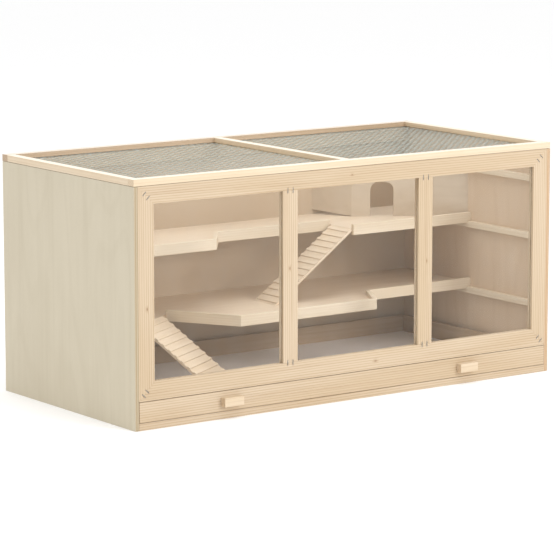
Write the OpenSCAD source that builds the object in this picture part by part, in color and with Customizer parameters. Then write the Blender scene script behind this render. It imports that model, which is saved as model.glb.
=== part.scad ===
// Wooden hamster cage: a carcass with three acrylic windows, two shelves joined
// by ramps, a corner hut, a pull-out tray and a hinged lid of wire mesh.
// Millimetres. X is width, -Y is the front, Z is up, and the origin is the
// centre of the footprint on the floor.

/* [Carcass] */
// Width across the side panels
cage_w = 1150; // [1140:5:1170]
// Depth of the side panels, front to back
cage_d = 540; // [535:5:560]
// Height of the carcass under its lid
cage_h = 525; // [515:5:560]
// Thickness of each side panel
side_t = 10; // [8:1:10]
// Thickness of the back panel
back_t = 8; // [6:1:8]
// Height of the base under the tray
base_h = 16; // [12:1:18]
// Thickness of the base panel
base_panel_t = 5; // [4:1:6]
// Depth of the rails along the base's front and back edges
base_rail_d = 20; // [18:1:24]
// Height of the rail along the top of the back panel
back_rail_h = 30; // [28:1:40]
// Width of the runners under the base panel
runner_w = 40; // [36:2:44]

/* [Window frame] */
// Thickness of the frame, front to back
frame_t = 15; // [14:1:16]
// Height of the underside of the bottom rail
frame_z = 62.5; // [61:0.5:64]
// Height of the bottom rail
rail_bottom_h = 41.5; // [38:0.5:44]
// Height of the top rail
rail_top_h = 39; // [36:1:42]
// Width of the end stiles and of the mullions
stile_w = 40; // [38:1:42]
// Centre of the left mullion
mullion_left_x = -168; // [-175:1:-160]
// Centre of the right mullion
mullion_right_x = 208; // [200:1:215]
// Thickness of the acrylic panes
pane_t = 2; // [2:0.5:3]
// Depth of the pane grooves
groove_depth = 7; // [6:1:8]

/* [Shelves] */
// Thickness of the shelf boards
shelf_t = 10; // [8:1:12]
// Height of the top of the middle shelf
mid_z = 175; // [170:1:180]
// Height of the top of the upper shelf
upper_z = 334.5; // [330:0.5:340]
// Height of the lip boards along the shelf edges
lip_h = 25; // [22:1:26]
// Thickness of the lip boards
lip_t = 9; // [8:1:9]
// How far the lips stand above the shelf
lip_rise = 10.5; // [9:0.5:12]
// Width of the battens, out from the side panels
batten_w = 12; // [10:1:15]
// Height of the battens
batten_h = 15; // [14:1:18]
// Height of the top of the highest battens
batten_top_z = 460; // [456:1:466]
// Distance from the cage's front to the battens' front ends
batten_setback = 44; // [40:1:48]

/* [Ramps] */
// Thickness of the ramp decks
ramp_t = 5; // [4:1:8]
// Width of the upper ramp
ramp_upper_w = 80; // [78:1:84]
// Width of the lower ramp
ramp_lower_w = 124; // [110:1:128]
// Slope of the lower ramp down from the level
ramp_lower_slope = 37; // [34:0.5:40]
// Angle of the lower ramp and its shelf edge from the front-to-back line
ramp_lower_turn = 32; // [30:1:33]
// Spacing of the rungs along the slope
rung_pitch = 19.3; // [18:0.1:21]
// Width of a rung along the slope
rung_w = 8; // [6:1:9]
// Height of a rung
rung_h = 2; // [2:0.5:4]

/* [Hut] */
// Thickness of the hut walls
hut_t = 8; // [7:1:8]
// Width of the doorway
door_w = 56; // [50:1:60]
// Height of the doorway
door_h = 83; // [78:1:86]
// Radius of the doorway's top corners
door_r = 20; // [16:1:22]
// Distance from the hut's corner to the doorway
door_jamb = 45; // [42:1:48]

/* [Tray] */
// Thickness of the tray's side and back walls
tray_wall_t = 6; // [5:1:6]
// Thickness of the tray's floor
tray_floor_t = 3; // [2.5:0.5:3]
// Half the distance between the centres of the handles
handle_x = 328; // [310:1:335]
// Width of each handle block
handle_w = 50; // [44:1:52]
// Height of each handle block
handle_h = 20; // [18:1:24]
// How far each handle block stands out
handle_d = 15; // [14:1:18]
// Height of the handle blocks above the drawer's lower edge
handle_rise = 11; // [10:1:14]

/* [Lid] */
// Thickness of the lid
lid_t = 15; // [14:1:16]
// Width of the lid's rails, stiles and centre bar
lid_bar_w = 21; // [20:1:24]
// Centre of the lid's centre bar
lid_bar_x = -3; // [-3:1:3]
// Spacing of the mesh wires
mesh_pitch = 18; // [14:1:20]
// Diameter of the mesh wires
wire_d = 1.2; // [0.9:0.1:1.3]
// Width of each hinge
hinge_w = 60; // [50:1:70]
// Distance between neighbouring hinges
hinge_gap = 420; // [380:10:440]

/* [Hidden] */
$fn = 48;

pine = [0.92, 0.82, 0.70];
pale_pine = [0.95, 0.88, 0.77];
plywood = [0.85, 0.80, 0.70];
brown_board = [0.60, 0.50, 0.40];
shelf_board = [0.80, 0.72, 0.61];
grey_floor = [0.65, 0.60, 0.59];
steel = [0.75, 0.75, 0.73];
clear = [0.85, 0.90, 0.92, 0.35];

half_w = cage_w / 2;
inner_x = half_w - side_t;
front_y = -cage_d / 2;
back_y = cage_d / 2;
back_in = back_y - back_t;
frame_back = front_y + frame_t;
window_z = [frame_z + rail_bottom_h, cage_h - rail_top_h];
window_left = [-inner_x + stile_w, mullion_left_x - stile_w / 2];
window_middle = [mullion_left_x + stile_w / 2, mullion_right_x - stile_w / 2];
window_right = [mullion_right_x + stile_w / 2, inner_x - stile_w];
pane_y = front_y + frame_t / 2;
pane_play = 0.1;
pane_inset = groove_depth - 1;
strip_l = 12;
strip_w = 2;
strip_deep = 6;
strip_steel = 0.5;
strip_bends = 6;
strip_along_top = [0.35, 0.58];
strip_along_bottom = [0.48, 0.7];
strip_dx = 7;
batten_front = front_y + batten_setback;
eps = 0.01;

// Front faces of the shelf lips in plan, left to right
shelf_edge_y = 3;
upper_main = [[-inner_x, 8], [-173, 8], [-108, 96], [211, 96]];
upper_right = [[211, shelf_edge_y], [inner_x, shelf_edge_y]];
ramp_dir = [sin(ramp_lower_turn), -cos(ramp_lower_turn)];
ramp_side = [cos(ramp_lower_turn), sin(ramp_lower_turn)];
mouth_w = 139;
mouth_left = [-398, -16.5];
mouth_right = mouth_left + mouth_w * ramp_side;
mid_front_y = -100;
ramp_edge_l = (mouth_right[1] - mid_front_y) / cos(ramp_lower_turn);
mid_left = [[-inner_x, mouth_left[1]], mouth_left];
mid_main = [mouth_right, mouth_right + ramp_edge_l * ramp_dir,
    [201.5, mid_front_y], [258.5, shelf_edge_y], [inner_x, shelf_edge_y]];
hut_path = [[280, back_in], [331, 171], [inner_x, 17]];
hut_gap_back = 11;
hut_gap_front = 1;

tray_play = 1;
tray_gap_side = 9;
tray_gap_back = 10;
tray_z = base_h + tray_play;
tray_h = frame_z - tray_play - tray_z;
tray_x = inner_x - tray_gap_side;
tray_back = back_in - tray_gap_back;
handle_z = tray_z + handle_rise;

// The ramps run down from a shelf's edge, the lower one to just above the tray's floor
ramp_upper_y = 10;
ramp_upper_foot = -10;
ramp_upper_run = upper_main[3][0] - ramp_upper_foot;
ramp_upper_rise = upper_z - mid_z;
ramp_foot_z = tray_z + tray_floor_t + 1;
ramp_lower_rise = mid_z - ramp_foot_z;
ramp_lower_run = ramp_lower_rise / tan(ramp_lower_slope);

lid_play = 0.6;
lid_z = cage_h + lid_play;
rebate_w = 4;
rebate_h = 4.3;
wire_reach = 3;
wire_over = 0.5;
wire_gap = 0.03;
wire_high_z = lid_z + rebate_h - wire_d / 2 - wire_gap;
wire_low_z = wire_high_z - wire_d - wire_gap;
bay_y = [front_y + lid_bar_w, back_y - lid_bar_w];
bay_left = [-half_w + lid_bar_w, lid_bar_x - lid_bar_w / 2];
bay_right = [lid_bar_x + lid_bar_w / 2, half_w - lid_bar_w];
staple_w = 8;
staple_leg = 6;
staple_wire = 1;
staple_edge = 1.4;
staple_first = 4;
staple_every = [7, 10];

hinge_r = 2.6;
hinge_pin_r = 1.2;
pin_head_r = 2;
pin_head_t = 1;
hinge_play = 0.05;
hinge_y = back_y + 3;
hinge_z = cage_h + lid_play / 2;
hinge_leaf_t = 1.2;
hinge_leaf_h = 10;
hinge_clear = 3;
hinge_slot = 0.3;
tongue_from = 1;
hinge_at = [-hinge_gap, 0, hinge_gap];
screw_r = 1.5;
screw_l = 8;
screw_head_r = 2.8;
screw_head_t = 1;
screw_spread = 0.32;
handle_screw_r = 2;
handle_screw_l = 26;
handle_screw_dx = 14;
handle_screw_head_t = 2;

// A box between two limits on each axis
module block(x, y, z) {
    translate([x[0], y[0], z[0]])
        cube([x[1] - x[0], y[1] - y[0], z[1] - z[0]]);
}

// An upright plate of an outline given in X and Z, with its back face at y
module upright_plate(outline, y, t) {
    translate([0, y, 0])
        rotate([90, 0, 0])
            linear_extrude(t)
                polygon(outline);
}

function unit(v) = v / norm(v);
function left_of(v) = [-v[1], v[0]];
function corner_shift(a, b, c) =
    let (n1 = left_of(unit(b - a)), n2 = left_of(unit(c - b)))
    (n1 + n2) / (1 + n1 * n2);

// The path moved sideways by t, with mitred corners and square ends
function inset(path, t) = [
    for (i = [0 : len(path) - 1])
        i == 0 ? path[0] + t * left_of(unit(path[1] - path[0]))
        : i == len(path) - 1 ? path[i] + t * left_of(unit(path[i] - path[i - 1]))
        : path[i] + t * corner_shift(path[i - 1], path[i], path[i + 1])
];

// ---- carcass ----

module side_panel(side) {
    x = side * (half_w - side_t / 2);
    color(plywood)
        block([x - side_t / 2, x + side_t / 2], [front_y, back_y], [0, cage_h]);
}

module back_panel() {
    color(brown_board)
        difference() {
            block([-inner_x, inner_x], [back_in, back_y], [0, cage_h]);
            hinge_screw_shanks(-1);
        }
}

module back_top_rail() {
    color(pine)
        block([-inner_x, inner_x], [back_in - frame_t, back_in], [cage_h - back_rail_h, cage_h]);
}

module base_panel() {
    color(brown_board)
        block([-inner_x, inner_x], [front_y + base_rail_d, back_in - base_rail_d],
            [base_h - base_panel_t, base_h]);
}

module base_front_rail() {
    color(pine)
        block([-inner_x, inner_x], [front_y, front_y + base_rail_d], [0, base_h]);
}

module base_rear_rail() {
    color(pine)
        block([-inner_x, inner_x], [back_in - base_rail_d, back_in], [0, base_h]);
}

module base_runners() {
    w = runner_w / 2;
    color(pine)
        for (x = [-inner_x + w, 0, inner_x - w])
            block([x - w, x + w], [front_y + base_rail_d, back_in - base_rail_d],
                [0, base_h - base_panel_t]);
}

// ---- window frame ----

module pane_groove(window) {
    block([window[0] - groove_depth, window[1] + groove_depth],
        [pane_y - pane_t / 2 - pane_play, pane_y + pane_t / 2 + pane_play],
        [window_z[0] - groove_depth, window_z[1] + groove_depth]);
}

module frame_member(outline) {
    color(pine)
        difference() {
            upright_plate(outline, frame_back, frame_t);
            pane_groove(window_left);
            pane_groove(window_middle);
            pane_groove(window_right);
            strip_places() strip_slot();
        }
}

module frame_rail(outer_z, inner_z) {
    in = inner_x - stile_w;
    frame_member([[-inner_x, outer_z], [inner_x, outer_z], [in, inner_z], [-in, inner_z]]);
}

module frame_stile(side) {
    in = inner_x - stile_w;
    frame_member([[side * inner_x, frame_z], [side * inner_x, cage_h],
        [side * in, window_z[1]], [side * in, window_z[0]]]);
}

module mullion(x) {
    w = stile_w / 2;
    frame_member([[x - w, window_z[0]], [x + w, window_z[0]],
        [x + w, window_z[1]], [x - w, window_z[1]]]);
}

module pane(window) {
    color(clear)
        block([window[0] - pane_inset, window[1] + pane_inset],
            [pane_y - pane_t / 2, pane_y + pane_t / 2],
            [window_z[0] - pane_inset, window_z[1] + pane_inset]);
}

// Places the children over every joint of the frame, across the joint line
module strip_places() {
    corners = [[frame_z, window_z[0], strip_along_bottom], [cage_h, window_z[1], strip_along_top]];
    for (side = [-1, 1], corner = corners, k = corner[2]) {
        rise = corner[0] - corner[1];
        translate([side * (inner_x - stile_w + k * stile_w), front_y, corner[1] + k * rise])
            rotate([0, -atan2(rise, side * stile_w) + 90, 0])
                children();
    }
    for (x = [mullion_left_x, mullion_right_x], z = window_z, dx = [-strip_dx, strip_dx])
        translate([x + dx, front_y, z])
            rotate([0, 90, 0])
                children();
}

module strip_slot() {
    block([-strip_l / 2, strip_l / 2], [-eps, strip_deep], [-strip_w / 2, strip_w / 2]);
}

// A steel strip with a zigzag wave, driven in edgewise
module corrugated_strip() {
    wave = [for (i = [0 : strip_bends]) [-strip_l / 2 + i * strip_l / strip_bends, i % 2]];
    swing = strip_w - strip_steel;
    upper = [for (p = wave) [p[0], p[1] * swing - strip_w / 2 + strip_steel]];
    lower = [for (i = [strip_bends : -1 : 0]) [wave[i][0], wave[i][1] * swing - strip_w / 2]];
    upright_plate(concat(upper, lower), strip_deep, strip_deep);
}

module corrugated_fasteners() {
    color(steel)
        strip_places() corrugated_strip();
}

// ---- shelves ----

module batten_pair(top) {
    color(pine)
        for (side = [-1, 1]) {
            x = side * (inner_x - batten_w / 2);
            block([x - batten_w / 2, x + batten_w / 2],
                [batten_front, back_in], [top - batten_h, top]);
        }
}

module shelf_board(outline, top) {
    color(shelf_board)
        translate([0, 0, top - shelf_t])
            linear_extrude(shelf_t)
                polygon(concat([[inner_x, back_in], [-inner_x, back_in]], outline));
}

// One lip board along span i of a path, notched where it crosses a batten
module lip(path, i, top) {
    inner = inset(path, lip_t);
    color(pale_pine)
        difference() {
            translate([0, 0, top + lip_rise - lip_h])
                linear_extrude(lip_h)
                    polygon([path[i], path[i + 1], inner[i + 1], inner[i]]);
            for (side = [-1, 1])
                block([side * inner_x - batten_w, side * inner_x + batten_w],
                    [front_y, back_y], [top - shelf_t - batten_h, top - shelf_t]);
        }
}

module mid_shelf() {
    shelf_board(concat(inset(mid_left, lip_t), [mouth_left], inset(mid_main, lip_t)), mid_z);
}

module upper_shelf() {
    shelf_board(concat(inset(upper_main, lip_t), inset(upper_right, lip_t)), upper_z);
}

// ---- ramps: the top edge of the deck is at the local origin, and it falls along +X ----

module ramp_deck(run, rise, w) {
    angle = atan2(rise, run);
    color(shelf_board)
        translate([0, w, 0])
            rotate([90, 0, 0])
                linear_extrude(w)
                    polygon([[0, 0], [run, -rise],
                        [run - ramp_t / sin(angle), -rise], [0, -ramp_t / cos(angle)]]);
}

module ramp_rungs(run, rise, w) {
    slope_l = norm([run, rise]);
    count = floor((slope_l - rung_w) / rung_pitch) + 1;
    start = (slope_l - (count - 1) * rung_pitch) / 2;
    color(pale_pine)
        rotate([0, atan2(rise, run), 0])
            for (i = [0 : count - 1])
                translate([start + i * rung_pitch - rung_w / 2, 0, 0])
                    cube([rung_w, w, rung_h]);
}

module place_ramp_upper() {
    translate([upper_main[3][0], ramp_upper_y + ramp_upper_w, upper_z])
        rotate([0, 0, 180])
            children();
}

module place_ramp_lower() {
    translate([mouth_left[0], mouth_left[1], mid_z])
        rotate([0, 0, ramp_lower_turn - 90])
            children();
}

module ramp_upper() {
    place_ramp_upper()
        ramp_deck(ramp_upper_run, ramp_upper_rise, ramp_upper_w);
}

module ramp_upper_rungs() {
    place_ramp_upper()
        ramp_rungs(ramp_upper_run, ramp_upper_rise, ramp_upper_w);
}

module ramp_lower() {
    place_ramp_lower()
        ramp_deck(ramp_lower_run, ramp_lower_rise, ramp_lower_w);
}

module ramp_lower_rungs() {
    place_ramp_lower()
        ramp_rungs(ramp_lower_run, ramp_lower_rise, ramp_lower_w);
}

// ---- hut ----

// One hut wall, run on past the cage's walls and trimmed to them
module hut_wall_body(i) {
    spare = 20;
    path = [
        hut_path[0] - spare * unit(hut_path[1] - hut_path[0]),
        hut_path[1],
        hut_path[2] + spare * unit(hut_path[2] - hut_path[1])
    ];
    inner = inset(path, hut_t);
    intersection() {
        translate([0, 0, upper_z])
            linear_extrude(batten_top_z - upper_z)
                polygon([path[i], path[i + 1], inner[i + 1], inner[i]]);
        block([0, inner_x], [front_y, back_in], [0, cage_h]);
    }
}

module doorway_outline() {
    square([door_w, door_h - door_r]);
    translate([door_r, 0])
        square([door_w - 2 * door_r, door_h]);
    for (x = [door_r, door_w - door_r])
        translate([x, door_h - door_r])
            circle(door_r);
}

module hut_front_wall() {
    run = hut_path[2] - hut_path[1];
    color(shelf_board)
        difference() {
            hut_wall_body(1);
            translate([hut_path[1][0], hut_path[1][1], upper_z])
                rotate([0, 0, atan2(run[1], run[0])])
                    translate([door_jamb, 3 * hut_t, -eps])
                        rotate([90, 0, 0])
                            linear_extrude(6 * hut_t)
                                doorway_outline();
            block([inner_x - batten_w, half_w], [front_y, back_y], [batten_top_z - batten_h, cage_h]);
        }
}

// The lower edge of the side wall rises towards the back panel
module hut_side_wall() {
    run = hut_path[1] - hut_path[0];
    wall_l = norm(run);
    spare = 30;
    fall = spare * (hut_gap_back - hut_gap_front) / wall_l;
    color(shelf_board)
        difference() {
            hut_wall_body(0);
            translate([hut_path[0][0], hut_path[0][1], upper_z])
                rotate([0, 0, atan2(run[1], run[0])])
                    translate([0, spare, 0])
                        rotate([90, 0, 0])
                            linear_extrude(2 * spare)
                                polygon([[-spare, -spare], [wall_l + spare, -spare],
                                    [wall_l + spare, hut_gap_front - fall],
                                    [-spare, hut_gap_back + fall]]);
        }
}

// ---- lid ----

module lid_bar(x, y) {
    color(pale_pine)
        difference() {
            block(x, y, [lid_z, lid_z + lid_t]);
            for (bay = [bay_left, bay_right])
                block([bay[0] - rebate_w, bay[1] + rebate_w],
                    [bay_y[0] - rebate_w, bay_y[1] + rebate_w], [lid_z - eps, lid_z + rebate_h]);
            hinge_screw_shanks(1);
        }
}

// Two layers of crossing wires, the front-to-back layer on top
module mesh_bay(bay) {
    x0 = bay[0] - wire_reach;
    y0 = bay_y[0] - wire_reach;
    span_x = bay[1] + wire_reach - x0;
    span_y = bay_y[1] + wire_reach - y0;
    count_x = round(span_x / mesh_pitch);
    count_y = round(span_y / mesh_pitch);
    color(steel) {
        for (i = [0 : count_x])
            translate([x0 + i * span_x / count_x, y0 - wire_over, wire_high_z])
                rotate([-90, 0, 0])
                    cylinder(h = span_y + 2 * wire_over, d = wire_d, $fn = 16);
        for (i = [0 : count_y])
            translate([x0 - wire_over, y0 + i * span_y / count_y, wire_low_z])
                rotate([0, 90, 0])
                    cylinder(h = span_x + 2 * wire_over, d = wire_d, $fn = 16);
    }
}

// A staple whose crown passes under one wire, with its legs up in the wood
module staple() {
    crown_z = wire_low_z - wire_d / 2 - staple_wire - wire_gap;
    leg_top = lid_z + rebate_h + staple_leg;
    thick = [-staple_wire / 2, staple_wire / 2];
    block([-staple_w / 2, staple_w / 2], thick, [crown_z, crown_z + staple_wire]);
    for (x = [-staple_w / 2, staple_w / 2 - staple_wire])
        block([x, x + staple_wire], thick, [crown_z, leg_top]);
}

module bay_staples(bay) {
    span_x = bay[1] - bay[0] + 2 * wire_reach;
    span_y = bay_y[1] - bay_y[0] + 2 * wire_reach;
    count_x = round(span_x / mesh_pitch);
    count_y = round(span_y / mesh_pitch);
    for (i = [staple_first : staple_every[0] : count_x - staple_first],
        y = [bay_y[0] - staple_edge, bay_y[1] + staple_edge])
        translate([bay[0] - wire_reach + i * span_x / count_x, y, 0])
            staple();
    for (i = [staple_first : staple_every[1] : count_y - staple_first],
        x = [bay[0] - staple_edge, bay[1] + staple_edge])
        translate([x, bay_y[0] - wire_reach + i * span_y / count_y, 0])
            rotate([0, 0, 90])
                staple();
}

module mesh_staples() {
    color(steel) {
        bay_staples(bay_left);
        bay_staples(bay_right);
    }
}

// ---- hinges: side 1 is the lid's half, side -1 the carcass's half ----

// Places the children at the middle of each hinge's pin
module hinge_places() {
    for (x = hinge_at)
        translate([x, hinge_y, hinge_z])
            children();
}

module knuckle(x) {
    translate([x[0], 0, 0])
        rotate([0, 90, 0])
            cylinder(h = x[1] - x[0], r = hinge_r);
}

module leaf_tongue(x, side) {
    block(x, [back_y - hinge_y, back_y - hinge_y + hinge_leaf_t],
        side > 0 ? [tongue_from, hinge_clear + eps] : [-hinge_clear - eps, -tongue_from]);
    knuckle(x);
}

module hinge_leaf(side) {
    third = hinge_w / 6;
    zs = side > 0
        ? [hinge_clear, hinge_clear + hinge_leaf_h]
        : [-hinge_clear - hinge_leaf_h, -hinge_clear];
    difference() {
        union() {
            block([-hinge_w / 2, hinge_w / 2],
                [back_y - hinge_y, back_y - hinge_y + hinge_leaf_t], zs);
            if (side > 0) {
                leaf_tongue([-third + hinge_slot, third - hinge_slot], side);
            } else {
                leaf_tongue([-hinge_w / 2, -third], side);
                leaf_tongue([third, hinge_w / 2], side);
            }
        }
        translate([-hinge_w, 0, 0])
            rotate([0, 90, 0])
                cylinder(h = 2 * hinge_w, r = hinge_pin_r + hinge_play);
        leaf_screw_places(side)
            cylinder(h = screw_l, r = screw_r);
    }
}

// Places the children at each screw of a leaf, with +Z running out of the wood
module leaf_screw_places(side) {
    for (dx = [-screw_spread * hinge_w, screw_spread * hinge_w])
        translate([dx, back_y - hinge_y + hinge_leaf_t - screw_l,
            side * (hinge_clear + hinge_leaf_h / 2)])
            rotate([-90, 0, 0])
                children();
}

module hinge_screw_shanks(side) {
    hinge_places()
        leaf_screw_places(side)
            cylinder(h = screw_l, r = screw_r);
}

module hinge_screws(side) {
    color(steel)
        hinge_places()
            leaf_screw_places(side) {
                cylinder(h = screw_l, r = screw_r);
                translate([0, 0, screw_l])
                    cylinder(h = screw_head_t, r = screw_head_r);
            }
}

module hinge_leaves(side) {
    color(steel)
        hinge_places()
            hinge_leaf(side);
}

module hinge_pins() {
    color(steel)
        hinge_places()
            translate([-hinge_w / 2 - pin_head_t, 0, 0])
                rotate([0, 90, 0]) {
                    cylinder(h = hinge_w + 2 * pin_head_t, r = hinge_pin_r);
                    for (x = [0, hinge_w + pin_head_t])
                        translate([0, 0, x])
                            cylinder(h = pin_head_t, r = pin_head_r);
                }
}

// ---- tray ----

// Places the children at each handle screw, with +Z running towards the front
module handle_screw_places() {
    for (side = [-1, 1], dx = [-handle_screw_dx, handle_screw_dx])
        translate([side * handle_x + dx, frame_back, handle_z + handle_h / 2])
            rotate([90, 0, 0])
                children();
}

module handle_screw_shanks() {
    handle_screw_places()
        cylinder(h = handle_screw_l, r = handle_screw_r);
}

module handle_screws() {
    color(steel) {
        handle_screw_shanks();
        handle_screw_places()
            translate([0, 0, -handle_screw_head_t])
                cylinder(h = handle_screw_head_t, r = 2 * handle_screw_r);
    }
}

module drawer_front() {
    color(pine)
        difference() {
            block([-inner_x + tray_play, inner_x - tray_play], [front_y, frame_back],
                [tray_z, tray_z + tray_h]);
            handle_screw_shanks();
        }
}

module tray_side_wall(side) {
    x = side * (tray_x - tray_wall_t / 2);
    color(pine)
        block([x - tray_wall_t / 2, x + tray_wall_t / 2],
            [frame_back, tray_back], [tray_z, tray_z + tray_h]);
}

module tray_back_wall() {
    in = tray_x - tray_wall_t;
    color(pine)
        block([-in, in], [tray_back - tray_wall_t, tray_back], [tray_z, tray_z + tray_h]);
}

module tray_floor() {
    in = tray_x - tray_wall_t;
    color(grey_floor)
        block([-in, in], [frame_back, tray_back - tray_wall_t],
            [tray_z, tray_z + tray_floor_t]);
}

module handle(side) {
    x = side * handle_x;
    color(pale_pine)
        difference() {
            block([x - handle_w / 2, x + handle_w / 2], [front_y - handle_d, front_y],
                [handle_z, handle_z + handle_h]);
            handle_screw_shanks();
        }
}

side_panel(-1);  // left_side_panel
side_panel(1);  // right_side_panel
back_panel();
back_top_rail();
base_panel();
base_front_rail();
base_rear_rail();
base_runners();
frame_rail(cage_h, window_z[1]);  // frame_top_rail
frame_rail(frame_z, window_z[0]);  // frame_bottom_rail
frame_stile(-1);  // frame_left_stile
frame_stile(1);  // frame_right_stile
mullion(mullion_left_x);  // mullion_left
mullion(mullion_right_x);  // mullion_right
pane(window_left);  // acrylic_left
pane(window_middle);  // acrylic_middle
pane(window_right);  // acrylic_right
corrugated_fasteners();
batten_pair(mid_z - shelf_t);  // battens_lower
batten_pair(upper_z - shelf_t);  // battens_upper
batten_pair(batten_top_z);  // battens_top
mid_shelf();
lip(mid_left, 0, mid_z);  // mid_lip_left
lip(mid_main, 0, mid_z);  // mid_lip_ramp
lip(mid_main, 1, mid_z);  // mid_lip_front
lip(mid_main, 2, mid_z);  // mid_lip_return
lip(mid_main, 3, mid_z);  // mid_lip_right
upper_shelf();
lip(upper_main, 0, upper_z);  // upper_lip_left
lip(upper_main, 1, upper_z);  // upper_lip_return
lip(upper_main, 2, upper_z);  // upper_lip_middle
lip(upper_right, 0, upper_z);  // upper_lip_right
ramp_upper();
ramp_upper_rungs();
ramp_lower();
ramp_lower_rungs();
hut_front_wall();
hut_side_wall();
hinge_leaves(-1);  // hinge_leaves_carcass
hinge_pins();
hinge_screws(-1);  // hinge_screws_carcass
lid_bar([-half_w, half_w], [front_y, bay_y[0]]);  // lid_front_rail
lid_bar([-half_w, half_w], [bay_y[1], back_y]);  // lid_back_rail
lid_bar([-half_w, bay_left[0]], bay_y);  // lid_left_stile
lid_bar([bay_right[1], half_w], bay_y);  // lid_right_stile
lid_bar([bay_left[1], bay_right[0]], bay_y);  // lid_centre_bar
mesh_bay(bay_left);  // mesh_left
mesh_bay(bay_right);  // mesh_right
mesh_staples();
hinge_leaves(1);  // hinge_leaves_lid
hinge_screws(1);  // hinge_screws_lid
drawer_front();
tray_side_wall(-1);  // tray_left_wall
tray_side_wall(1);  // tray_right_wall
tray_back_wall();
tray_floor();
handle(-1);  // handle_left
handle(1);  // handle_right
handle_screws();
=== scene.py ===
"""Looks of the wooden hamster cage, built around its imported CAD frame. Metres, Z up, front towards -Y."""

import math
import random

import bmesh
import bpy
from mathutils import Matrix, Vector


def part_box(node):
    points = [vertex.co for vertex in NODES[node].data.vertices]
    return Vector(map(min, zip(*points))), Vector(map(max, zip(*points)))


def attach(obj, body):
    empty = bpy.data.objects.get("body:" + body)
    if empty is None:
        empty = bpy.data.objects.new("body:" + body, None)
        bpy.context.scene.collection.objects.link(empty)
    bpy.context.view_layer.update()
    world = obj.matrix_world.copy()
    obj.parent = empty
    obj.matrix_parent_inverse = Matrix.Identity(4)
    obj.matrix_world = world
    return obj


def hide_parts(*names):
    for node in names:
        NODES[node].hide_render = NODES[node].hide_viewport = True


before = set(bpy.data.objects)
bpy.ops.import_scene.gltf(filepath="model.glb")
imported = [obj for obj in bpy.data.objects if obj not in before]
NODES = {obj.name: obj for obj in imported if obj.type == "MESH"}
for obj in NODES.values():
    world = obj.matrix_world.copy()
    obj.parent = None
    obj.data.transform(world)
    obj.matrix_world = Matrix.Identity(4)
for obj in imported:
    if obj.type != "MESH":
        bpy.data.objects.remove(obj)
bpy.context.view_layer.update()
SEED = 7

X_AXIS = (1, 0, 0)
Y_AXIS = (0, 1, 0)
Z_AXIS = (0, 0, 1)

# Directions of the grain, as angles in plan, or "up" for an upright board
ALONG_X = 0.0
ALONG_Y = 90.0
UP = "up"

# Distance between two growth rings, and thickness of one ply
RING_SPACING = 0.0055
PLY_THICKNESS = 0.0027

# How far a cut end goes towards the dark tone
END_GRAIN = 0.3

# How far from home each board's place in the noise may be
NOISE_REACH = 9


# ---------------------------------------------------------------- colours

def rgb(red, green, blue):
    """Linear colour of an 8-bit sRGB colour."""
    def linear(v):
        v /= 255
        return v / 12.92 if v <= 0.04045 else ((v + 0.055) / 1.055) ** 2.4
    return (linear(red), linear(green), linear(blue), 1.0)


def tinted(color, red, green, blue):
    """A colour with each channel multiplied by a number."""
    return (color[0] * red, color[1] * green, color[2] * blue, 1.0)


# Light and dark tone of each material
PINE = (rgb(200, 181, 155), rgb(160, 129, 95))
PALE_PINE = (rgb(228, 213, 190), rgb(203, 176, 140))
LID_PINE = (rgb(218, 200, 174), rgb(186, 160, 126))
# Darker copy of the lid's pine: painted shade for the lid's back rail
SHADED_BACK_RAIL_PINE = (rgb(190, 168, 142), rgb(160, 130, 100))
HANDLE_PINE = (rgb(214, 196, 171), rgb(180, 152, 118))
TRAY_PINE = (rgb(184, 160, 132), rgb(158, 130, 100))
LEFT_PLY = (rgb(198, 188, 166), rgb(178, 166, 141))
RIGHT_PLY = (rgb(214, 192, 166), rgb(196, 170, 140))
SHELF_PLY = (rgb(230, 212, 188), rgb(208, 184, 154))
HUT_PLY = (rgb(208, 192, 170), rgb(186, 165, 138))
BROWN_BOARD = (rgb(202, 182, 156), rgb(182, 158, 129))
TRAY_BOARD = (rgb(252, 249, 248), rgb(242, 238, 238))
ACRYLIC = (rgb(240, 240, 236), rgb(226, 230, 228))
WIRE = (rgb(192, 198, 192), rgb(166, 172, 166))
STEEL = ((0.66, 0.66, 0.63, 1), (0.42, 0.42, 0.40, 1))
# Near white blended onto upward faces: a painted highlight for the light on the tops
PAINTED_TOP_HIGHLIGHT = rgb(255, 250, 240)
PALE_FLOOR = (0.98, 0.98, 0.98, 1)


# ---------------------------------------------------------------- node helpers

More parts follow.
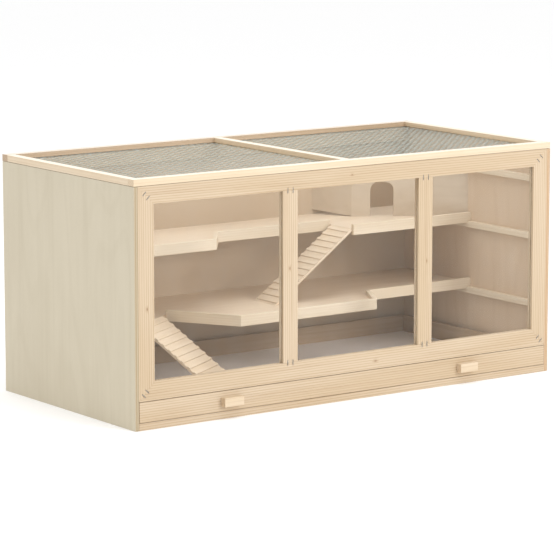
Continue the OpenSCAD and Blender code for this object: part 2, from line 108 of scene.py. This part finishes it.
class Shader:
    """A material's node tree, with short calls that make and join its nodes."""

    def __init__(self, name):
        self.material = bpy.data.materials.new(name)
        self.material.use_nodes = True
        self.tree = self.material.node_tree
        self.tree.nodes.clear()
        output = self.tree.nodes.new("ShaderNodeOutputMaterial")
        self.shader = self.node("ShaderNodeBsdfPrincipled")
        self.tree.links.new(self.shader.outputs[0], output.inputs["Surface"])

    def node(self, kind, inputs=None, **settings):
        made = self.tree.nodes.new(kind)
        for key, value in settings.items():
            setattr(made, key, value)
        for key, value in (inputs or {}).items():
            self.set(made.inputs[key], value)
        return made

    def set(self, socket, value):
        if isinstance(value, bpy.types.NodeSocket):
            self.tree.links.new(value, socket)
        else:
            socket.default_value = value

    def point(self):
        return self.node("ShaderNodeTexCoord").outputs["Object"]

    def normal(self):
        return self.node("ShaderNodeTexCoord").outputs["Normal"]

    def math(self, operation, a, b=0.0):
        return self.node("ShaderNodeMath", {0: a, 1: b}, operation=operation).outputs[0]

    def add(self, first, *others):
        total = first
        for value in others:
            total = self.math("ADD", total, value)
        return total

    def times(self, a, b):
        return self.math("MULTIPLY", a, b)

    def sine(self, value, rate):
        """Sine of value times rate."""
        return self.math("SINE", self.times(value, rate))

    def length(self, vector):
        return self.node("ShaderNodeVectorMath", {0: vector}, operation="LENGTH").outputs["Value"]

    def dot(self, vector, axis):
        inputs = {0: vector, 1: axis}
        return self.node("ShaderNodeVectorMath", inputs, operation="DOT_PRODUCT").outputs["Value"]

    def place(self, vector, scale=(1, 1, 1), turn=(0, 0, 0), move=(0, 0, 0)):
        """Scales, then turns, then moves a vector."""
        inputs = {"Vector": vector, "Location": move, "Rotation": turn, "Scale": scale}
        return self.node("ShaderNodeMapping", inputs).outputs[0]

    def noise(self, vector, scale, detail=2.0, rough=0.5):
        inputs = {"Vector": vector, "Scale": scale, "Detail": detail, "Roughness": rough}
        return self.node("ShaderNodeTexNoise", inputs).outputs["Fac"]

    def grain_noise(self, vector, along, across, detail=2.0, rough=0.5):
        """Noise drawn out along X, with so many features to a metre along and across it."""
        return self.noise(self.place(vector, scale=(along, across, across)), 1.0, detail, rough)

    def ramp(self, value, low, high, to_low=0.0, to_high=1.0):
        """Smooth step from to_low, where value is low, to to_high, where it is high."""
        inputs = {0: value, 1: low, 2: high, 3: to_low, 4: to_high}
        return self.node("ShaderNodeMapRange", inputs, interpolation_type="SMOOTHSTEP").outputs[0]

    def marks(self, value, low, high, strength):
        """Marks that come in between low and high, up to a strength."""
        return self.ramp(value, low, high, 0.0, strength)

    def blend(self, factor, a, b):
        """Colour a where factor is 0, and b where it is 1 or more."""
        made = self.node("ShaderNodeMix", data_type="RGBA")
        color_a, color_b = (s for s in made.inputs if s.type == "RGBA")
        self.set(made.inputs["Factor"], factor)
        self.set(color_a, a)
        self.set(color_b, b)
        return next(s for s in made.outputs if s.type == "RGBA")

    def bump(self, height, strength, distance):
        inputs = {"Height": height, "Strength": strength, "Distance": distance}
        self.set(self.shader.inputs["Normal"], self.node("ShaderNodeBump", inputs).outputs[0])

    def finish(self, color, rough):
        self.set(self.shader.inputs["Base Color"], color)
        self.set(self.shader.inputs["Roughness"], rough)
        return self.material


def grain_turn(direction):
    """Mapping rotation that brings a board's grain onto the texture's X axis."""
    if direction == UP:
        return (0, math.pi / 2, 0)
    return (0, 0, -math.radians(direction))


def grain_axis(direction):
    if direction == UP:
        return Z_AXIS
    a = math.radians(direction)
    return (math.cos(a), math.sin(a), 0)


def grain_space(s, centre, direction):
    """Coordinates measured from a centre, with the grain along X."""
    return s.place(s.place(s.point(), move=[-c for c in centre]), turn=grain_turn(direction))


def random_shift(rng):
    return [rng.uniform(-NOISE_REACH, NOISE_REACH) for _ in range(3)]


# ---------------------------------------------------------------- materials

def growth_rings(s, rng, along, moved):
    """Count of rings from a pith that lies beside the board and a little askew."""
    pith = (0, rng.uniform(0.01, 0.05) * rng.choice((-1, 1)), rng.uniform(0.12, 0.25) * rng.choice((-1, 1)))
    tilt = (0, rng.uniform(-0.003, 0.003), rng.uniform(-0.003, 0.003))
    across = s.place(s.place(along, turn=tilt, move=pith), scale=(0, 1, 1))
    wander = s.grain_noise(moved, along=1.6, across=7, detail=3, rough=0.55)
    waver = s.grain_noise(moved, along=0.5, across=16, detail=1)
    even = s.math("DIVIDE", s.length(across), RING_SPACING)
    return s.add(even, s.times(wander, 1.1), s.times(waver, 0.7))


def add_knots(s, direction, knots, rings, color, dark):
    """Each knot is a dark core with a halo, and it pushes the rings aside. Knots are (place, radius)."""
    heart = tinted(dark, 0.62, 0.5, 0.4)
    for place, radius in knots:
        oval = s.place(grain_space(s, place, direction), scale=(0.55, 1, 1))
        distance = s.length(oval)
        rings = s.add(rings, s.ramp(distance, 0.0, radius * 3.5, 0.4, 0.0))
        halo = s.ramp(distance, radius * 0.8, radius * 2.4, 0.3, 0.0)
        core = s.ramp(distance, radius * 0.3, radius, 0.6, 0.0)
        color = s.blend(core, s.blend(halo, color, dark), heart)
    return rings, color


def wood(name, tones, direction, seed, contrast=0.46, rough=0.55, knots=(), painted_top_highlight=0.0, centre=(0, 0, 0)):
    """Solid timber: growth rings, fibres, slow colour drift, darker end grain, and a painted highlight on
    upward faces.
    """
    light, dark = tones
    s = Shader(name)
    rng = random.Random(SEED * 1000 + seed)
    along = grain_space(s, centre, direction)
    moved = s.place(along, move=random_shift(rng))
    rings = growth_rings(s, rng, along, moved)
    drift = s.ramp(s.grain_noise(moved, along=2.5, across=22), 0.3, 0.7)
    color = s.blend(drift, light, tinted(light, 0.93, 0.90, 0.84))
    rings, color = add_knots(s, direction, knots, rings, color, dark)
    late_wood = s.ramp(s.sine(rings, math.tau), 0.35, 1.0)
    fibre = s.grain_noise(moved, along=14, across=900, detail=4, rough=0.65)
    streak = s.grain_noise(moved, along=3, across=160, rough=0.6)
    facing = s.math("ABSOLUTE", s.dot(s.normal(), grain_axis(direction)))
    mark = s.add(
        s.times(late_wood, contrast),
        s.marks(streak, 0.45, 0.8, contrast * 0.6),
        s.marks(fibre, 0.4, 0.85, 0.22),
        s.marks(facing, 0.75, 0.95, END_GRAIN),
    )
    color = s.blend(mark, color, dark)
    # Painted highlight: faces that point up are blended towards near white, as far as the painted top
    # highlight amount
    color = s.blend(s.marks(s.dot(s.normal(), Z_AXIS), 0.6, 0.95, painted_top_highlight), color, PAINTED_TOP_HIGHLIGHT)
    s.bump(s.add(s.times(late_wood, 0.35), fibre), strength=0.35, distance=0.00035)
    return s.finish(color, s.ramp(fibre, 0.2, 0.8, rough - 0.07, rough + 0.12))


def plywood(name, tones, direction, thickness_axis, seed):
    """Sheet with a rotary-cut face veneer: broad soft figure, fine pores, and layered edges."""
    light, dark = tones
    s = Shader(name)
    rng = random.Random(SEED * 2000 + seed)
    moved = s.place(grain_space(s, (0, 0, 0), direction), move=random_shift(rng))
    cloud = s.grain_noise(moved, along=3, across=11, detail=4, rough=0.6)
    figure = s.grain_noise(moved, along=2.2, across=60, detail=3, rough=0.6)
    arches = s.sine(s.grain_noise(moved, along=0.9, across=5, detail=1), 90)
    pores = s.grain_noise(moved, along=60, across=1400, detail=3, rough=0.7)
    mark = s.add(
        s.marks(cloud, 0.25, 0.75, 0.24),
        s.marks(figure, 0.4, 0.75, 0.16),
        s.marks(arches, 0.3, 1.0, 0.1),
        s.marks(pores, 0.52, 0.8, 0.22),
    )
    depth = s.dot(s.point(), thickness_axis)
    layers = s.ramp(s.sine(depth, math.pi / PLY_THICKNESS), -0.3, 0.3, 0.55, 1.0)
    facing = s.math("ABSOLUTE", s.dot(s.normal(), thickness_axis))
    on_edge = s.ramp(facing, 0.3, 0.6, 1.0, 0.0)
    color = s.blend(mark, light, dark)
    color = s.blend(s.times(layers, on_edge), color, tinted(dark, 0.8, 0.7, 0.58))
    s.bump(s.add(pores, s.times(figure, 0.5)), strength=0.25, distance=0.0003)
    return s.finish(color, s.ramp(pores, 0.2, 0.8, 0.45, 0.6))


def coated_board(name, tones, seed, rough=0.38):
    """Smooth pressed board with a thin coat: soft clouds, fine flecks and a slight orange peel."""
    s = Shader(name)
    moved = s.place(s.point(), move=(seed * 1.7, seed * 2.3, seed * 0.9))
    cloud = s.noise(moved, 4.5, detail=4, rough=0.6)
    fleck = s.noise(moved, 380, rough=0.7)
    peel = s.noise(moved, 160)
    mark = s.add(s.marks(cloud, 0.3, 0.7, 0.34), s.marks(fleck, 0.5, 0.75, 0.3))
    s.bump(s.add(peel, s.times(fleck, 0.4)), strength=0.12, distance=0.0004)
    return s.finish(s.blend(mark, *tones), s.ramp(cloud, 0.3, 0.7, rough - 0.06, rough + 0.08))


def clear_sheet(name, tones):
    """Clear acrylic with a faint haze and fine upright wipe marks."""
    s = Shader(name)
    wipe = s.noise(s.place(s.point(), scale=(9, 9, 2.2)), 3.0, detail=5, rough=0.65)
    fine = s.noise(s.place(s.point(), turn=(0, 0.5, 0), scale=(700, 700, 18)), 1.0, detail=3, rough=0.7)
    haze = s.add(s.marks(wipe, 0.35, 0.8, 0.016), s.marks(fine, 0.62, 0.8, 0.016), 0.02)
    s.set(s.shader.inputs["Alpha"], haze)
    s.set(s.shader.inputs["IOR"], 1.49)
    s.set(s.shader.inputs["Specular IOR Level"], 0.6)
    return s.finish(s.blend(wipe, *tones), s.ramp(fine, 0.5, 0.8, 0.05, 0.16))


def zinc(name, tones, seed=0, rough=0.36, metal=0.85, cells_per_metre=900):
    """Zinc plated steel: fine spangle and a slightly uneven shine."""
    s = Shader(name)
    moved = s.place(s.point(), move=(seed, -seed, seed * 0.5))
    cells = s.node("ShaderNodeTexVoronoi", {"Vector": moved, "Scale": cells_per_metre}).outputs["Distance"]
    dull = s.noise(moved, cells_per_metre * 0.12, detail=3, rough=0.6)
    mark = s.add(s.marks(cells, 0.1, 0.6, 0.35), s.marks(dull, 0.4, 0.7, 0.45))
    s.set(s.shader.inputs["Metallic"], metal)
    s.bump(cells, strength=0.1, distance=0.0002)
    return s.finish(s.blend(mark, *tones), s.ramp(dull, 0.3, 0.7, rough - 0.08, rough + 0.12))


# ---------------------------------------------------------------- CAD nodes

def soften(node, width):
    """Rounds a CAD board's sharp edges a little, as sanding does."""
    weld = node.modifiers.new("join", "WELD")
    weld.merge_threshold = 0.00002
    bevel = node.modifiers.new("sanded edge", "BEVEL")
    bevel.width = width
    bevel.segments = 2
    bevel.limit_method = "ANGLE"
    bevel.angle_limit = math.radians(35)
    bevel.use_clamp_overlap = True
    flat = node.modifiers.new("flat faces", "WEIGHTED_NORMAL")
    flat.weight = 100
    flat.keep_sharp = False


def dress(node_name, material, edge=0.0):
    """Gives a CAD node its material, and softened edges where edge is more than 0."""
    node = NODES[node_name]
    node.data.materials.clear()
    node.data.materials.append(material)
    if edge > 0:
        soften(node, edge)


def knot_at(node_name, x_share, z_share, radius):
    """A knot on the front face of a frame member, at shares of its width and height."""
    lo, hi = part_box(node_name)
    place = (lo.x + (hi.x - lo.x) * x_share, lo.y, lo.z + (hi.z - lo.z) * z_share)
    return (place, radius)


def board_angle(node_name):
    """Angle in plan, in degrees, of the longest level edge of a board."""
    mesh = NODES[node_name].data
    edges = [mesh.vertices[e.vertices[1]].co - mesh.vertices[e.vertices[0]].co for e in mesh.edges]
    level = [edge for edge in edges if abs(edge.z) < 1e-5]
    longest = max(level, key=lambda edge: edge.length)
    return math.degrees(math.atan2(longest.y, longest.x))


def dress_frame_and_rails():
    """Every member of the front frame, and the rails of the base, the back and the drawer."""
    knots = {
        "frame_left_stile": (0.55, 0.43, 0.0026),
        "mullion_left": (0.45, 0.55, 0.0024),
        "mullion_right": (0.6, 0.5, 0.0022),
        "frame_bottom_rail": (0.56, 0.45, 0.003),
        "frame_top_rail": (0.5, 0.55, 0.002),
    }
    uprights = ("frame_left_stile", "frame_right_stile", "mullion_left", "mullion_right")
    rails = ("frame_top_rail", "frame_bottom_rail", "back_top_rail", "drawer_front", "base_front_rail",
             "base_rear_rail")
    for i, name in enumerate(uprights + rails):
        direction = UP if name in uprights else ALONG_X
        lo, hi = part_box(name)
        own_knots = [knot_at(name, *knots[name])] if name in knots else []
        material = wood("pine " + name, PINE, direction, seed=i, knots=own_knots, centre=(lo + hi) / 2)
        # The drawer's face has screw holes, where a bevel would leave a streak
        dress(name, material, edge=0.0 if name == "drawer_front" else 0.0009)


def dress_runners_and_battens():
    for i, name in enumerate(("base_runners", "battens_lower", "battens_upper", "battens_top")):
        dress(name, wood("pine " + name, PALE_PINE, ALONG_Y, seed=30 + i, contrast=0.2), edge=0.0008)


def dress_panels():
    dress("left_side_panel", plywood("plywood left", LEFT_PLY, UP, X_AXIS, seed=0), edge=0.0006)
    dress("right_side_panel", plywood("plywood right", RIGHT_PLY, UP, X_AXIS, seed=1), edge=0.0006)
    dress("back_panel", coated_board("brown board back", BROWN_BOARD, seed=3), edge=0.0004)
    dress("base_panel", coated_board("brown board base", BROWN_BOARD, seed=5), edge=0.0004)


def dress_shelves():
    for i, name in enumerate(("mid_shelf", "upper_shelf")):
        dress(name, plywood("shelf " + name, SHELF_PLY, ALONG_X, Z_AXIS, seed=10 + i))
    lips = sorted(name for name in NODES if "_lip_" in name)
    for i, name in enumerate(lips):
        material = wood("pale " + name, PALE_PINE, board_angle(name), seed=40 + i, contrast=0.2)
        dress(name, material, edge=0.0008)


def dress_ramps():
    """The grain runs along the upper deck and across the lower one, and the rungs' grain crosses it."""
    for i, (name, angle) in enumerate((("ramp_upper", ALONG_X), ("ramp_lower", board_angle("ramp_lower")))):
        deck = wood("deck " + name, SHELF_PLY, angle, seed=60 + i, contrast=0.2)
        rungs = wood("rungs " + name, SHELF_PLY, angle + 90, seed=64 + i, contrast=0.16)
        dress(name, deck, edge=0.0005)
        dress(name + "_rungs", rungs, edge=0.0006)


def dress_hut():
    dress("hut_front_wall", plywood("hut front", HUT_PLY, ALONG_X, Y_AXIS, seed=20))
    dress("hut_side_wall", plywood("hut side", HUT_PLY, ALONG_Y, X_AXIS, seed=21))


def dress_lid():
    rails = ("lid_front_rail", "lid_back_rail")
    bars = ("lid_left_stile", "lid_right_stile", "lid_centre_bar")
    for i, name in enumerate(rails + bars):
        direction = ALONG_X if name in rails else ALONG_Y
        # The back rail takes the darker tones, which are painted shade
        tones = SHADED_BACK_RAIL_PINE if name == "lid_back_rail" else LID_PINE
        # The lid's upward faces get a painted highlight
        material = wood("lid " + name, tones, direction, seed=70 + i, contrast=0.22, rough=0.34,
                        painted_top_highlight=0.42)
        dress(name, material, edge=0.0009)


def dress_tray():
    for i, name in enumerate(("tray_left_wall", "tray_right_wall", "tray_back_wall")):
        direction = ALONG_X if name == "tray_back_wall" else ALONG_Y
        dress(name, wood("tray " + name, TRAY_PINE, direction, seed=80 + i, contrast=0.2), edge=0.0007)
    dress("tray_floor", coated_board("tray floor", TRAY_BOARD, seed=8, rough=0.42))
    for i, name in enumerate(("handle_left", "handle_right")):
        dress(name, wood("handle " + name, HANDLE_PINE, ALONG_X, seed=90 + i, contrast=0.22), edge=0.0012)


def dress_windows_and_metal():
    acrylic = clear_sheet("clear acrylic", ACRYLIC)
    steel = zinc("zinc plated steel", STEEL)
    wire = zinc("zinc plated wire", WIRE, seed=4, rough=0.45, metal=0.35)
    hinges = ("hinge_leaves_carcass", "hinge_leaves_lid", "hinge_pins")
    for name in ("acrylic_left", "acrylic_middle", "acrylic_right"):
        dress(name, acrylic)
    for name in hinges + ("corrugated_fasteners", "mesh_staples"):
        dress(name, steel)
    for name in ("mesh_left", "mesh_right"):
        dress(name, wire)


# ---------------------------------------------------------------- screws

def add_object(name, data):
    made = bpy.data.objects.new(name, data)
    bpy.context.scene.collection.objects.link(made)
    return made


def mesh_from(bm, name):
    mesh = bpy.data.meshes.new(name)
    bm.to_mesh(mesh)
    bm.free()
    return mesh


def islands(node_name):
    """Lowest and highest corner of each separate solid of a CAD node, from left to right."""
    mesh = NODES[node_name].data
    spots_per_metre = 1e5
    spots = [tuple(round(c * spots_per_metre) for c in v.co) for v in mesh.vertices]
    parent = {}

    def root(spot):
        while parent.setdefault(spot, spot) != spot:
            spot = parent[spot]
        return spot

    for polygon in mesh.polygons:
        first = root(spots[polygon.vertices[0]])
        for i in polygon.vertices[1:]:
            parent[root(spots[i])] = first
    groups = {}
    for spot, vertex in zip(spots, mesh.vertices):
        groups.setdefault(root(spot), []).append(vertex.co)
    boxes = []
    for points in groups.values():
        lo = Vector([min(p[k] for p in points) for k in range(3)])
        hi = Vector([max(p[k] for p in points) for k in range(3)])
        boxes.append((lo, hi))
    return sorted(boxes, key=lambda box: tuple(box[0]))


def lathe(bm, profile, steps=28):
    """Turns a profile of (radius, height) points about Z, and closes both ends."""
    rings = []
    for radius, height in profile:
        ring = []
        for k in range(steps):
            a = math.tau * k / steps
            ring.append(bm.verts.new((radius * math.cos(a), radius * math.sin(a), height)))
        rings.append(ring)
    for low, high in zip(rings, rings[1:]):
        for k in range(steps):
            n = (k + 1) % steps
            bm.faces.new((low[k], low[n], high[n], high[k]))
    bm.faces.new(rings[0][::-1])
    bm.faces.new(rings[-1])


def screw_mesh(head_r, head_h, length):
    """A pan-head wood screw, its head above z = 0 and its threaded shank below."""
    shank_r = head_r * 0.52
    root_r = shank_r * 0.72
    crest_r = shank_r * 0.99
    turns = int(length / (shank_r * 0.62))
    pitch = length * 0.93 / turns
    crest_rise = length * 0.45 / turns
    profile = [(shank_r * 0.25, -length)]
    for i in range(turns):
        z = -length * 0.97 + i * pitch
        taper = min(1.0, 0.35 + i * 0.16)
        profile.append((root_r * taper, z))
        profile.append((crest_r * taper, z + crest_rise))
    profile += [(shank_r * 0.95, -0.0001), (head_r, 0.0)]
    profile += [(head_r * math.cos(a), head_h * math.sin(a)) for a in (0.35, 0.7, 1.0, 1.25)]
    bm = bmesh.new()
    lathe(bm, profile)
    return mesh_from(bm, "cut screw")


def cross_cutter(head_r, head_h):
    """Two crossed bars, which cut the recess out of a screw's head."""
    bar_length = head_r * 1.05
    bar_width = head_r * 0.26
    bar_height = head_h * 0.9
    middle = head_h * 0.75
    bm = bmesh.new()
    for turn in (0, math.pi / 2):
        for v in bmesh.ops.create_cube(bm, size=1.0)["verts"]:
            x, y, z = v.co.x * bar_length, v.co.y * bar_width, middle + v.co.z * bar_height
            v.co = (x * math.cos(turn) - y * math.sin(turn), x * math.sin(turn) + y * math.cos(turn), z)
    return mesh_from(bm, "cross cutter")


def cut_screw(head_r, head_h, length, steel):
    """Mesh of a screw with the cross recess cut into its head."""
    screw = add_object("cut screw", screw_mesh(head_r, head_h, length))
    cutter = add_object("cut cross", cross_cutter(head_r, head_h))
    cut = screw.modifiers.new("cross", "BOOLEAN")
    cut.operation = "DIFFERENCE"
    cut.solver = "EXACT"
    cut.use_self = True
    cut.object = cutter
    bpy.context.view_layer.update()
    result = bpy.data.meshes.new_from_object(screw.evaluated_get(bpy.context.evaluated_depsgraph_get()))
    for helper in (screw, cutter):
        bpy.data.objects.remove(helper)
    result.materials.clear()
    result.materials.append(steel)
    return result


def add_screws(node_name, body, steel):
    """One detailed screw for each solid of a CAD screw node. The heads face the back, towards +Y."""
    boxes = islands(node_name)
    lo, hi = boxes[0]
    head_r = (hi.z - lo.z) / 2
    head_h = head_r * 0.42
    mesh = cut_screw(head_r, head_h, hi.y - lo.y - head_h, steel)
    rng = random.Random(SEED)
    for i, (lo, hi) in enumerate(boxes):
        piece = add_object(f"{node_name}_{i + 1}", mesh.copy())
        piece.location = ((lo.x + hi.x) / 2, hi.y - head_h, (lo.z + hi.z) / 2)
        piece.rotation_euler = (-math.pi / 2, 0, 0)
        piece.rotation_euler.rotate_axis("Z", rng.uniform(0, math.pi / 2))
        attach(piece, body)
        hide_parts(node_name)


def add_all_screws():
    steel = zinc("screw steel", STEEL, seed=9, rough=0.3)
    add_screws("hinge_screws_carcass", "carcass", steel)
    add_screws("hinge_screws_lid", "lid", steel)
    add_screws("handle_screws", "tray", steel)


# ---------------------------------------------------------------- stage

CAGE_MIDDLE = (0, 0, 0.27)


def add_world():
    world = bpy.data.worlds.new("studio")
    world.use_nodes = True
    background = world.node_tree.nodes["Background"]
    background.inputs["Color"].default_value = (1, 1, 1, 1)
    background.inputs["Strength"].default_value = 1.0
    bpy.context.scene.world = world
    bpy.context.scene.view_settings.view_transform = "Standard"


def add_floor():
    half = 14.0
    corners = [(-half, -half, 0), (half, -half, 0), (half, half, 0), (-half, half, 0)]
    mesh = bpy.data.meshes.new("floor")
    mesh.from_pydata(corners, [], [(0, 1, 2, 3)])
    mesh.materials.append(Shader("pale floor").finish(PALE_FLOOR, rough=0.9))
    floor = add_object("floor", mesh)


def add_softbox(name, place, size, power):
    """An area light aimed at the middle of the cage."""
    data = bpy.data.lights.new(name, "AREA")
    data.shape = "RECTANGLE"
    data.size, data.size_y = size
    data.energy = power
    light = add_object(name, data)
    light.location = place
    light.rotation_mode = "QUATERNION"
    light.rotation_quaternion = (Vector(CAGE_MIDDLE) - Vector(place)).to_track_quat("-Z", "Y")


def add_lights():
    add_softbox("top softbox", place=(-0.4, -0.3, 3.4), size=(3.2, 2.4), power=48)
    add_softbox("front softbox", place=(1.6, -4.6, 2.2), size=(1.8, 1.5), power=88)
    add_softbox("left softbox", place=(-4.4, -1.2, 1.8), size=(2.4, 2.0), power=2)


def add_camera():
    """The photo's view: a long lens from the front left, a little above the lid."""
    yaw = math.radians(35.64)
    pitch = math.radians(9.41)
    data = bpy.data.cameras.new("camera")
    data.lens = 195.8
    data.sensor_width = 36.0
    data.shift_x = -0.0007
    data.shift_y = -0.0027
    data.clip_end = 60.0
    camera = add_object("camera", data)
    camera.location = (-3.9827, -5.5409, 1.3764)
    camera.rotation_euler = (math.pi / 2 - pitch, 0, -yaw)
    bpy.context.scene.camera = camera


def main():
    dress_frame_and_rails()
    dress_runners_and_battens()
    dress_panels()
    dress_shelves()
    dress_ramps()
    dress_hut()
    dress_lid()
    dress_tray()
    dress_windows_and_metal()
    add_all_screws()
    add_world()
    add_floor()
    add_lights()
    add_camera()


main()
